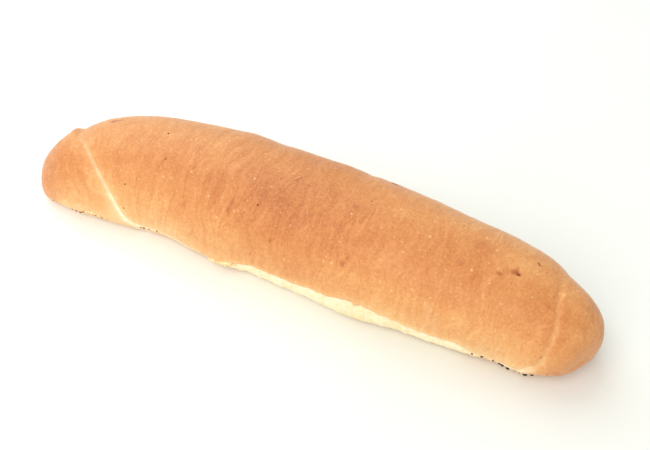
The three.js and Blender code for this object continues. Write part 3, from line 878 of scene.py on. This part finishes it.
def buildReliefTree():
    tree, given, outputs = newModifierTree("crustRelief", {
        **crustRelief, "Millimetre": 0.001, "Crust": "Material", "Torn": "Material"})
    chart = namedAttribute(tree, "chart", "FLOAT_VECTOR")
    place = addNode(tree, "GeometryNodeInputPosition").outputs[0]
    torn, hold = namedAttribute(tree, "torn"), namedAttribute(tree, "hold")

    def onChart(name):  # the chart in units of a form's width and length
        return stretch(chart, combine(X=inverse(given[name + " Width"]), Y=inverse(given[name + " Length"])))

    def inSpace(name):  # the place in units of a form's size
        return scaled(place, inverse(product(given[name + " Size"], given["Millimetre"])))

    def raised(name, vector, detail):
        return product(seededNoise(vector, given["Seed"], scale=1.0, detail=detail), given[name + " Height"])

    wrinkle = raised("Wrinkle", onChart("Wrinkle"), detail=3.0)
    lump = raised("Lump", inSpace("Lump"), detail=2.0)
    strand = raised("Strand", onChart("Strand"), detail=3.0)
    cells = feed("ShaderNodeTexVoronoi", {"Vector": inSpace("Blister"), "Scale": 1.0}, feature="SMOOTH_F1")
    middleDistance = 0.45
    blister = product(calculate("SUBTRACT", middleDistance, cells["Distance"]), given["Blister Height"])
    smooth = calculate("ADD", calculate("ADD", wrinkle, lump), blister)
    height = addShares(0.0, (smooth, calculate("SUBTRACT", 1.0, torn)), (strand, torn))
    normal = addNode(tree, "GeometryNodeInputNormal").outputs[0]
    offset = scaled(normal, product(height, hold, given["Millimetre"]))
    moved = feed("GeometryNodeSetPosition", {"Geometry": given["Geometry"], "Offset": offset})[0]
    crust = dress(madeReal(moved), given["Crust"])
    isTorn = calculate("GREATER_THAN", torn, 0.5)
    setSockets(outputs, {"Geometry": dress(crust, given["Torn"], Selection=isTorn)})
    return tree


rollMesh, formShift = buildRollMesh()
rollPiece = pieceFromTree("breadRoll", rollMesh, buildReliefTree(), {
    **crustRelief, "Millimetre": mm, "Crust": crustMaterial, "Torn": tornMaterial})
rollSurface = BVHTree.FromObject(rollPiece, bpy.context.evaluated_depsgraph_get())
print("roll:", len(rollPiece.data.polygons), "faces")


# Baked-on bits: lumpy balls set on points of the crust, each turned to the surface
def buildBitsTree():
    tree, given, outputs = newModifierTree("bakedOnBits", {
        "Flatness": 0.8, "Lumpiness": 0.35, "Seed": 1, "Material": "Material"})
    lumpScale, narrow, fullTurn = 1.3, 0.85, 6.283
    ball = addNode(tree, "GeometryNodeMeshIcoSphere", {"Radius": 1.0, "Subdivisions": 2}).outputs[0]
    place = addNode(tree, "GeometryNodeInputPosition").outputs[0]
    height = product(seededNoise(place, given["Seed"], lumpScale, detail=1.0), given["Lumpiness"])
    lumpy = feed("GeometryNodeSetPosition", {"Geometry": ball, "Offset": scaled(place, height)})[0]
    shape = combine(X=1.0, Y=narrow, Z=given["Flatness"])
    shaped = feed("GeometryNodeTransform", {"Geometry": lumpy, "Scale": shape})[0]
    facing = namedAttribute(tree, "facing", "FLOAT_VECTOR")
    upright = feed("FunctionNodeAlignRotationToVector", {"Vector": facing}, axis="Z")[0]
    spin = feed("FunctionNodeRandomValue", {"Seed": given["Seed"], 3: fullTurn}, data_type="FLOAT")[1]
    turned = feed("FunctionNodeRotateRotation", {"Rotation": upright, "Rotate By": combine(Z=spin)},
                  rotation_space="LOCAL")[0]
    size = namedAttribute(tree, "radius")
    setSockets(outputs, {"Geometry": scatter(given["Geometry"], shaped, turned, size, given["Material"])})
    return tree


bitsTree = buildBitsTree()


def placeBits(name, kind):  # places are u, v and radius, and each bit is sunk by a share of its radius
    u, v, radius = np.array(kind["places"], float).T
    guess = (bodyPoint(u, v) - formShift) * mm
    points, facing = [], []
    for spot, size in zip(guess, radius):
        place, normal, _, _ = rollSurface.find_nearest(Vector(spot))
        centre = place - normal * size * kind["sunk"] * mm
        centre.z = max(centre.z, size * mm)
        points.append(centre)
        facing.append(normal)
    mesh = bpy.data.meshes.new(name)
    mesh.from_pydata(points, [], [])
    setAttribute(mesh, "radius", radius * mm)
    setAttribute(mesh, "facing", np.array(facing))
    print(name + ":", len(points))
    return pieceFromTree(name, mesh, bitsTree, kind)


# A loose row of grains along the hidden lower edge
backRow = {"seed": 41, "from": -0.85, "to": 0.85, "v": 0.835, "spread": 0.01, "count": 12,
           "jitter": 0.6, "least": 0.55, "most": 0.95}


def drawBackGrains():
    row, multiplier, modulus = backRow, 16807, 2147483647
    state, places = row["seed"], []

    def draw():
        nonlocal state
        state = (state * multiplier) % modulus
        return state / modulus

    for k in range(row["count"]):
        step = k + (1 - row["jitter"]) / 2 + row["jitter"] * draw()
        u = row["from"] + (row["to"] - row["from"]) * step / row["count"]
        v = row["v"] + row["spread"] * (2 * draw() - 1)
        places.append((u, v, row["least"] + (row["most"] - row["least"]) * draw()))
    return places


# Grains along the lower edge: black at the right and behind, brown mostly at the left
burntKind = {
    "Flatness": 0.8, "Lumpiness": 0.5, "Seed": 3, "Material": bitMaterials["burntGrain"], "sunk": 0.05,
    "places": [(0.684, 0.184, 0.5), (0.722, 0.183, 0.75), (0.774, 0.178, 0.5), (0.801, 0.17, 0.7),
               (0.814, 0.165, 1.0), (0.838, 0.165, 1.05), (0.899, 0.163, 1.2), (0.921, 0.164, 0.85),
               *drawBackGrains()],
}
brownKind = {
    "Flatness": 0.7, "Lumpiness": 0.5, "Seed": 4, "Material": bitMaterials["brownGrain"], "sunk": 0.05,
    "places": [(0.863, 0.163, 0.7), (0.883, 0.167, 0.6), (0.965, 0.184, 0.45), (-0.957, 0.168, 0.55),
               (-0.881, 0.167, 0.55), (-0.866, 0.166, 0.8), (-0.85, 0.165, 0.95), (-0.838, 0.178, 0.6),
               (-0.829, 0.187, 0.5), (-0.78, 0.185, 0.5), (-0.755, 0.181, 0.65), (-0.58, 0.181, 0.65),
               (-0.559, 0.184, 0.75), (-0.535, 0.187, 0.5), (-0.499, 0.191, 0.6)],
}

# Charred pinpoints in the crust
speckKind = {
    "Flatness": 0.5, "Lumpiness": 0.5, "Seed": 5, "Material": bitMaterials["charredSpeck"], "sunk": 0.25,
    "places": [(-0.525, 0.511, 0.58), (-0.483, 0.427, 0.48), (-0.623, 0.338, 0.48), (-0.635, 0.259, 0.5),
               (-0.099, 0.393, 0.54), (0.7675, 0.552, 0.45), (0.7725, 0.5475, 0.5), (-0.07, 0.477, 0.34),
               (0.524, 0.552, 0.42), (0.232, 0.506, 0.36), (0.935, 0.295, 0.34), (-0.334, 0.66, 0.45),
               (0.106, 0.7, 0.5), (0.626, 0.68, 0.4), (-0.694, 0.71, 0.45), (0.2445, 0.623, 0.55),
               (0.2525, 0.622, 0.6), (0.26, 0.6205, 0.5)],
}

# Soft lumps of dough where the tear starts, and crumbs at the left end's foot
lumpKind = {
    "Flatness": 0.6, "Lumpiness": 0.9, "Seed": 6, "Material": bitMaterials["doughLump"], "sunk": 0.15,
    "places": [(-0.252, 0.176, 1.2), (-0.24, 0.181, 1.4), (-0.225, 0.183, 1.6), (-0.215, 0.187, 1.6),
               (-0.216, 0.174, 1.5), (-0.2, 0.188, 1.75), (-0.196, 0.176, 1.8), (-0.186, 0.193, 1.6),
               (-0.178, 0.184, 1.7), (-0.171, 0.196, 1.4), (-0.16, 0.19, 1.3)],
}
footKind = {
    "Flatness": 0.75, "Lumpiness": 0.8, "Seed": 8, "Material": bitMaterials["paleCrumb"], "sunk": 0.1,
    "places": [(-0.818, 0.193, 0.6), (-0.805, 0.197, 0.7), (-0.792, 0.197, 0.8), (-0.779, 0.196, 0.6),
               (-0.767, 0.194, 0.5)],
}
bits = [placeBits(name, kind) for name, kind in (
    ("burntGrains", burntKind), ("brownGrains", brownKind), ("charredSpecks", speckKind),
    ("doughLumps", lumpKind), ("footCrumbs", footKind))]

# Crumbs on the torn side, scattered by a node tree where the crust gapes
tornCrumbs = {"Density": 0.035, "Least": 0.2, "Most": 0.5, "Seed": 11, "Material": bitMaterials["paleCrumb"],
              "squash": (1.0, 0.75, 0.5)}


def buildCrumbTree():
    tree, given, outputs = newModifierTree("tornCrumbs", {
        "Density": 0.05, "Least": 0.2, "Most": 0.5, "Millimetre": 0.001, "Seed": 1, "Material": "Material"})
    perArea = calculate("DIVIDE", given["Density"], calculate("POWER", given["Millimetre"], 2.0))
    density = product(perArea, namedAttribute(tree, "torn"))
    spots = feed("GeometryNodeDistributePointsOnFaces", {
        "Mesh": given["Geometry"], "Density": density, "Seed": given["Seed"]})
    ball = addNode(tree, "GeometryNodeMeshIcoSphere", {"Radius": 1.0, "Subdivisions": 1}).outputs[0]
    squashed = feed("GeometryNodeTransform", {"Geometry": ball, "Scale": tornCrumbs["squash"]})[0]
    least, most = (product(given[name], given["Millimetre"]) for name in ("Least", "Most"))
    size = feed("FunctionNodeRandomValue", {"Seed": given["Seed"], 2: least, 3: most}, data_type="FLOAT")[1]
    copies = scatter(spots["Points"], squashed, spots["Rotation"], size, given["Material"])
    setSockets(outputs, {"Geometry": copies})
    return tree


crumbs = pieceFromTree("tornCrumbs", rollPiece.data.copy(), buildCrumbTree(), {
    **tornCrumbs, "Millimetre": mm})
print("torn crumbs:", len(crumbs.data.polygons), "faces")

# Every piece belongs to the one body
for piece in (rollPiece, *bits, crumbs):
    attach(piece, "root")
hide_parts("roll")

# Table: plain and pale, with painted light: a slight glow that fades to the right, lifting the shade beside
# the roll's left end
table = {
    "size": 4.0, "tones": [(233, 233, 227), (238, 238, 232)], "toneScale": 14.0, "toneRange": (0.3, 0.7),
    "specular": 0.2, "roughness": (0.75, 0.85),
    "glow": (250, 246, 240), "glowRange": (-0.07, 0.07), "glowStrength": 0.11,
}


def buildTableMesh():
    material, tree, shader = newMaterial("paleTable", table["specular"])
    place = objectPlace(tree)
    pattern = noise(place, table["toneScale"], detail=2.0)
    along = feed("ShaderNodeSeparateXYZ", {"Vector": place})["X"]
    setSockets(shader, {
        "Base Color": mixColour(pattern, *table["tones"]),
        "Roughness": rangeOf(pattern, *table["toneRange"], *table["roughness"]),
        # painted light: the table glows, more on the left
        "Emission Color": paint(table["glow"]),
        "Emission Strength": rangeOf(along, *table["glowRange"], table["glowStrength"], 0.0)})
    half, floor = table["size"] / 2, partLow.z
    mesh = bpy.data.meshes.new("table")
    mesh.from_pydata([(-half, -half, floor), (half, -half, floor), (half, half, floor), (-half, half, floor)],
                     [], [(0, 1, 2, 3)])
    mesh.materials.append(material)
    return mesh


tableMesh = buildTableMesh()
newPiece("table", tableMesh)

# Light and camera
studio = {
    "world": {"Color": (1.0, 0.99, 0.97, 1.0), "Strength": 0.55},
    "lights": [
        {"name": "window", "from": (-0.62, 0.42, 0.85), "size": 1.1, "power": 8.5,
         "colour": (0.8, 0.95, 1.0)},
        {"name": "fill", "from": (-0.15, -0.9, 1.0), "size": 1.4, "power": 14.5,
         "colour": (1.0, 0.965, 0.93)},
    ],
}


def aimAt(thing, target):
    away = thing.location - Vector(target)
    thing.rotation_euler = away.to_track_quat("Z", "Y").to_euler()


def makeStudio():
    world = bpy.data.worlds.new("studio")
    world.use_nodes = True
    setSockets(world.node_tree.nodes["Background"].inputs, studio["world"])
    bpy.context.scene.world = world
    for row in studio["lights"]:
        lamp = bpy.data.lights.new(row["name"], "AREA")
        lamp.size, lamp.energy, lamp.color = row["size"], row["power"], row["colour"]
        holder = newPiece(row["name"], lamp)
        holder.location = row["from"]
        aimAt(holder, (0, 0, 0))
    bpy.context.scene.view_settings.view_transform = "Standard"


# The photograph's view: where the lens axis meets the table, and the way back to the lens
viewFrom = {"aim": (0.73, 17.0), "azimuth": 26.5, "elevation": 49.0, "distance": 426.4, "lens": 49.85,
            "clipStart": 0.01}


def makeCamera():
    turn, rise = math.radians(viewFrom["azimuth"]), math.radians(viewFrom["elevation"])
    aim = Vector((viewFrom["aim"][0] * mm, viewFrom["aim"][1] * mm, partLow.z))
    back = Vector((math.sin(turn) * math.cos(rise), -math.cos(turn) * math.cos(rise), math.sin(rise)))
    camera = bpy.data.cameras.new("camera")
    camera.lens, camera.clip_start = viewFrom["lens"], viewFrom["clipStart"]
    holder = newPiece("camera", camera)
    holder.location = aim + back * viewFrom["distance"] * mm
    aimAt(holder, aim)
    bpy.context.scene.camera = holder


makeStudio()
makeCamera()
print("studio ready")
